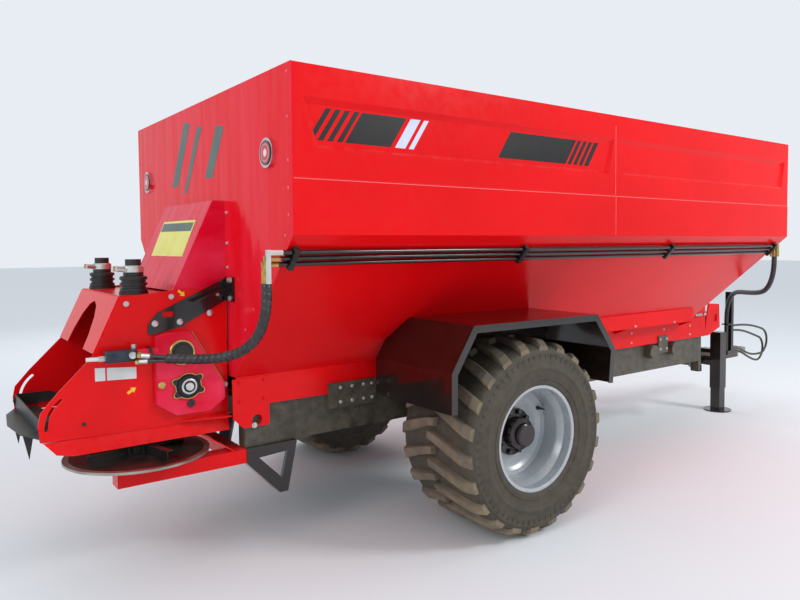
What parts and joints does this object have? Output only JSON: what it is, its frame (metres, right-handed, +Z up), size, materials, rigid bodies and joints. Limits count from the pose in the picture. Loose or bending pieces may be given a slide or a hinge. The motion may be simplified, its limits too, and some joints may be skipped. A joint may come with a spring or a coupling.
{
  "type": "trailed bulk fertiliser spreader",
  "caption": "Single-axle trailed fertiliser spreader with a hopper, belt floor, spinning discs under a rear deck, mudguards, jack and towing eye.",
  "frame": {"origin": "middle of the overall length and width, on the ground", "axes": "+X forward towards the towing eye, +Y to the left, +Z up"},
  "size_m": [7.145, 2.674, 2.507],
  "materials": {
    "red_paint": "gloss",
    "black_paint": "gloss",
    "raw_steel": "satin",
    "tyre": "matte",
    "rim_paint": "satin",
    "belt_rubber": "matte",
    "black_iron": "satin",
    "disc_steel": "satin",
    "lamp_black": "matte",
    "red_lens": "gloss",
    "zinc": "satin",
    "hose_rubber": "satin"
  },
  "bodies": {
    "spreader": {"chassis_rails": "black_paint", "cross_members": "black_paint", "drawbar_beam": "black_paint", "towing_eye": "raw_steel", "axle_beam": "black_paint", "hopper_side_right": "red_paint", "hopper_side_left": "red_paint", "hopper_slope_right": "red_paint", "hopper_slope_left": "red_paint", "sill_right": "red_paint", "sill_left": "red_paint", "front_bracket_right": "red_paint", "front_bracket_left": "red_paint", "fender_right": "black_paint", "fender_left": "black_paint", "shield_right": "red_paint", "shield_left": "red_paint", "hopper_front_wall": "red_paint", "hopper_rear_wall": "red_paint", "hopper_cross_tie": "red_paint", "belt_skirts": "belt_rubber", "floor_belt": "belt_rubber", "belt_drums": "raw_steel", "body_clamps": "black_paint", "rear_end_plates": "red_paint", "deck_plate": "red_paint", "rear_arch": "red_paint", "outlet_hood": "red_paint", "spinner_motors": "black_iron", "side_beams": "red_paint", "rear_guards": "black_paint", "housing_arms": "black_paint", "belt_gearbox": "red_paint", "belt_motor": "black_iron", "lamp_bezels": "lamp_black", "lamp_lenses": "red_lens", "oil_pipes": "black_paint", "pipe_clamps": "lamp_black", "rear_elbows": "zinc", "front_elbows": "zinc", "rear_hose_bundle": "hose_rubber", "front_hose_bundle": "hose_rubber", "upper_loop_hose": "hose_rubber", "lower_loop_hose": "hose_rubber", "hose_holder": "black_paint", "jack_tube": "black_paint"},
    "wheel_right": {"tyre_right": "tyre", "rim_right": "rim_paint", "hub_right": "black_paint"},
    "wheel_left": {"tyre_left": "tyre", "rim_left": "rim_paint", "hub_left": "black_paint"},
    "disc_right": {"spinner_right": "disc_steel"},
    "disc_left": {"spinner_left": "disc_steel"},
    "deflector": {"deflector_flap": "black_paint"},
    "jack": {"jack_leg": "black_paint"}
  },
  "joints": [
    {"name": "wheel_right_roll", "type": "hinge", "parent": "spreader", "child": "wheel_right", "pos_m": [-1.1105, -1.0235, 0.57], "axis": [0, 1, 0], "continuous": true},
    {"name": "wheel_left_roll", "type": "hinge", "parent": "spreader", "child": "wheel_left", "pos_m": [-1.1105, 1.0235, 0.57], "axis": [0, 1, 0], "continuous": true},
    {"name": "disc_right_spin", "type": "hinge", "parent": "spreader", "child": "disc_right", "pos_m": [-3.0325, -0.33, 0.63], "axis": [0, 0, 1], "continuous": true},
    {"name": "disc_left_spin", "type": "hinge", "parent": "spreader", "child": "disc_left", "pos_m": [-3.0325, 0.33, 0.63], "axis": [0, 0, 1], "continuous": true},
    {"name": "deflector_tilt", "type": "hinge", "parent": "spreader", "child": "deflector", "pos_m": [-3.2995, 0, 0.832], "axis": [0, 1, 0], "range_deg": [0, 52]},
    {"name": "jack_slide", "type": "slide", "parent": "spreader", "child": "jack", "axis": [0, 0, 1], "range_m": [0, 0.21]}
  ]
}
